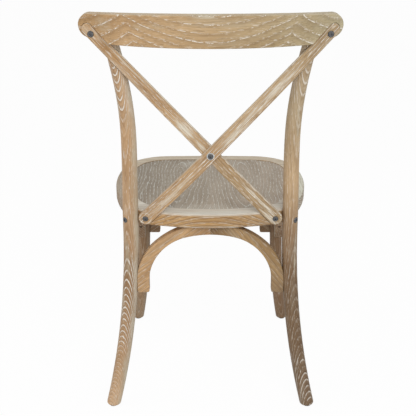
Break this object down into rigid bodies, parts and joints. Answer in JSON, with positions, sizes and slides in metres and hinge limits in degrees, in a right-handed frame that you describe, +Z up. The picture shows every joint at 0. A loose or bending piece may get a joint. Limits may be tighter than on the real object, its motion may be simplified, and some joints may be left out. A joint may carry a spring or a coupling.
{
  "type": "cross back dining chair",
  "caption": "Solid wood dining chair with round bent legs, a curved crest rail, two crossed back slats, a framed panel seat and arched braces below it.",
  "frame": {"origin": "floor level, at the middle of the chair's width and depth", "axes": "+Z up, the front faces -Y, +X is the sitter's left"},
  "size_m": [0.513, 0.4996, 0.8855],
  "materials": {
    "limed_wood": "limed, matt lacquer",
    "seat_board": "limed, matt lacquer",
    "dowel_wood": "plain turned",
    "dark_steel": "darkened",
    "zinc_steel": "zinc plated",
    "glide": "matt"
  },
  "bodies": {
    "root": {"crest_rail": "limed_wood", "rear_leg_left": "limed_wood", "rear_leg_right": "limed_wood", "front_leg_left": "limed_wood", "front_leg_right": "limed_wood", "seat_rail_rear": "limed_wood", "seat_rail_front": "limed_wood", "seat_rail_left": "limed_wood", "seat_rail_right": "limed_wood", "seat_panel": "seat_board", "cross_slat_outer": "limed_wood", "cross_slat_inner": "limed_wood", "rear_arch_left": "limed_wood", "rear_arch_right": "limed_wood", "front_arch_left": "limed_wood", "front_arch_right": "limed_wood", "side_arch_rear_left": "limed_wood", "side_arch_rear_right": "limed_wood", "side_arch_front_left": "limed_wood", "side_arch_front_right": "limed_wood", "seat_frame_dowels": "dowel_wood", "arch_dowels": "dowel_wood", "slat_top_screws": "dark_steel", "slat_bottom_screws": "dark_steel", "crossing_bolt": "dark_steel", "crossing_washers": "dark_steel", "crossing_nut": "dark_steel", "rear_leg_bolts": "dark_steel", "barrel_nuts": "zinc_steel", "arch_end_screws": "zinc_steel", "arch_crown_screws": "zinc_steel", "foot_glides": "glide"}
  },
  "joints": []
}
